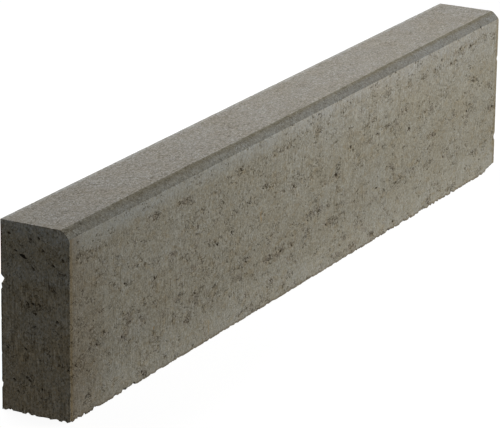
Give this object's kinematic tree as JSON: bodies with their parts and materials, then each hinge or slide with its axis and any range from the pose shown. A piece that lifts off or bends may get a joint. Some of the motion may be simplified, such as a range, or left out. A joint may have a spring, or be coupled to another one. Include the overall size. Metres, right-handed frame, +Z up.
{
  "type": "concrete kerb stone",
  "caption": "Straight precast concrete edging kerb with one chamfered top arris, standing on its foot, for paths and lawn borders.",
  "frame": {"origin": "middle of the foot, on the level the stone stands on", "axes": "+X along the stone, -Y out of the exposed face under the chamfered arris, +Z up"},
  "size_m": [1, 0.08, 0.2],
  "materials": {
    "concrete": "rough pressed concrete, pitted sides, fine-grained top"
  },
  "bodies": {
    "root": {"kerb_stone": "concrete"}
  },
  "joints": []
}
